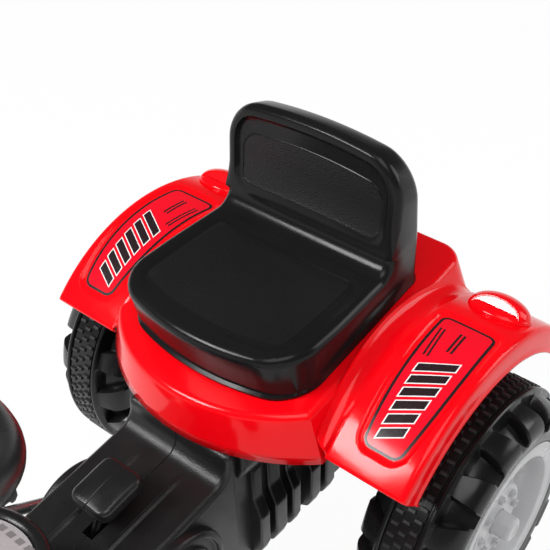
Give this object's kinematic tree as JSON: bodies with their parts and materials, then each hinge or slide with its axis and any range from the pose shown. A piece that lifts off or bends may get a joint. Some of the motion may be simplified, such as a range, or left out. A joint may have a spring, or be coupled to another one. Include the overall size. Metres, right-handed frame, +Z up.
{
  "type": "ride-on pedal tractor",
  "caption": "Child's ride-on pedal tractor with a sliding black seat, red body with fenders, chunky treaded wheels, chain-driven rear axle and steered front wheels.",
  "frame": {"origin": "centre of the footprint, on the floor under the tyres", "axes": "+X to the driver's left, -Y forward, +Z up"},
  "size_m": [0.524, 0.98, 0.5147],
  "materials": {
    "red_body": "glossy blow-moulded polyethylene",
    "red_lens": "glossy moulded cap",
    "lamp_lens": "glossy moulded cap",
    "black_seat": "satin with a fine grain",
    "black_body": "satin",
    "black_trim": "satin",
    "black_wheel": "satin",
    "grey_rim": "satin",
    "grey_cap": "satin",
    "white_bush": "matt",
    "zinc_steel": "zinc plated",
    "chain_steel": "oiled",
    "black_steel": "powder coated",
    "screw_steel": "zinc plated",
    "black_nut": "matt"
  },
  "bodies": {
    "chassis": {"chassis_left_half": "black_body", "chassis_right_half": "black_body", "rear_body_shell": "red_body", "tail_light_left": "red_lens", "tail_light_right": "red_lens", "rear_axle_bush_left": "white_bush", "rear_axle_bush_right": "white_bush", "crank_bush_left": "white_bush", "crank_bush_right": "white_bush", "drive_chain": "chain_steel", "lever_bracket": "black_steel", "steering_bush": "white_bush", "front_axle_beam": "black_steel", "dashboard": "black_body", "hood": "red_body", "grille": "black_body", "headlight_left": "lamp_lens", "headlight_right": "lamp_lens", "front_bumper": "black_body", "hitch": "black_body", "chassis_screws": "screw_steel", "hood_screws": "screw_steel"},
    "seat": {"seat": "black_seat", "seat_bolts": "zinc_steel", "seat_wing_nuts": "black_nut"},
    "rear_axle": {"rear_axle": "zinc_steel", "axle_spacer_left": "zinc_steel", "axle_spacer_right": "zinc_steel", "rear_sprocket": "chain_steel", "rear_tyre_left": "black_wheel", "rear_rim_left": "grey_rim", "rear_cap_left": "grey_cap"},
    "right_rear_wheel": {"rear_tyre_right": "black_wheel", "rear_rim_right": "grey_rim", "rear_cap_right": "grey_cap"},
    "crank": {"crank_shaft": "zinc_steel", "crank_sprocket": "chain_steel", "pedal_retainers": "zinc_steel"},
    "left_pedal": {"pedal_left": "black_trim"},
    "right_pedal": {"pedal_right": "black_trim"},
    "gear_lever": {"lever_stem": "zinc_steel", "lever_knob": "black_trim", "lever_pin": "zinc_steel"},
    "steering": {"steering_wheel": "black_trim", "steering_cap": "black_trim", "steering_shaft": "zinc_steel"},
    "left_knuckle": {"knuckle_left": "black_steel", "kingpin_left": "zinc_steel"},
    "right_knuckle": {"knuckle_right": "black_steel", "kingpin_right": "zinc_steel"},
    "front_left_wheel": {"front_tyre_left": "black_wheel", "front_rim_left": "grey_rim", "front_cap_left": "grey_cap"},
    "front_right_wheel": {"front_tyre_right": "black_wheel", "front_rim_right": "grey_rim", "front_cap_right": "grey_cap"},
    "tie_rod": {"tie_rod": "black_steel"}
  },
  "joints": [
    {"name": "seat_slide", "type": "slide", "parent": "chassis", "child": "seat", "axis": [0, 0.995, 0.0995], "range_m": [-0.055, 0.055]},
    {"name": "rear_axle_spin", "type": "hinge", "parent": "chassis", "child": "rear_axle", "pos_m": [0, 0.3, 0.138], "axis": [1, 0, 0], "continuous": true},
    {"name": "right_rear_wheel_spin", "type": "hinge", "parent": "chassis", "child": "right_rear_wheel", "pos_m": [-0.207, 0.3, 0.138], "axis": [1, 0, 0], "continuous": true},
    {"name": "crank_spin", "type": "hinge", "parent": "chassis", "child": "crank", "pos_m": [0, 0.044, 0.163], "axis": [1, 0, 0], "continuous": true},
    {"name": "left_pedal_spin", "type": "hinge", "parent": "crank", "child": "left_pedal", "pos_m": [0.139, 0.10978, 0.13906], "axis": [1, 0, 0], "continuous": true},
    {"name": "right_pedal_spin", "type": "hinge", "parent": "crank", "child": "right_pedal", "pos_m": [-0.139, -0.02178, 0.18694], "axis": [1, 0, 0], "continuous": true},
    {"name": "gear_lever_tilt", "type": "hinge", "parent": "chassis", "child": "gear_lever", "pos_m": [0, 0.00783, 0.20179], "axis": [1, 0, 0], "range_deg": [-12, 12]},
    {"name": "steering_turn", "type": "hinge", "parent": "chassis", "child": "steering", "pos_m": [0, -0.152, 0.463], "axis": [0, 0.3987, 0.9171], "range_deg": [-25, 25]},
    {"name": "left_knuckle_turn", "type": "hinge", "parent": "chassis", "child": "left_knuckle", "pos_m": [0.105, -0.305, 0.1], "axis": [0, 0, 1], "range_deg": [-25, 25]},
    {"name": "right_knuckle_turn", "type": "hinge", "parent": "chassis", "child": "right_knuckle", "pos_m": [-0.105, -0.305, 0.1], "axis": [0, 0, 1], "range_deg": [-25, 25]},
    {"name": "front_left_wheel_spin", "type": "hinge", "parent": "left_knuckle", "child": "front_left_wheel", "pos_m": [0.166, -0.305, 0.1], "axis": [1, 0, 0], "continuous": true},
    {"name": "front_right_wheel_spin", "type": "hinge", "parent": "right_knuckle", "child": "front_right_wheel", "pos_m": [-0.166, -0.305, 0.1], "axis": [1, 0, 0], "continuous": true},
    {"name": "tie_rod_pivot", "type": "hinge", "parent": "left_knuckle", "child": "tie_rod", "pos_m": [0.105, -0.263, 0.109], "axis": [0, 0, 1], "range_deg": [-25, 25]}
  ],
  "couplings": [
    {"joint": "crank_spin", "follows": "rear_axle_spin", "ratio": 0.66667},
    {"joint": "left_knuckle_turn", "follows": "steering_turn", "ratio": 1},
    {"joint": "right_knuckle_turn", "follows": "steering_turn", "ratio": 1},
    {"joint": "tie_rod_pivot", "follows": "steering_turn", "ratio": -1}
  ]
}
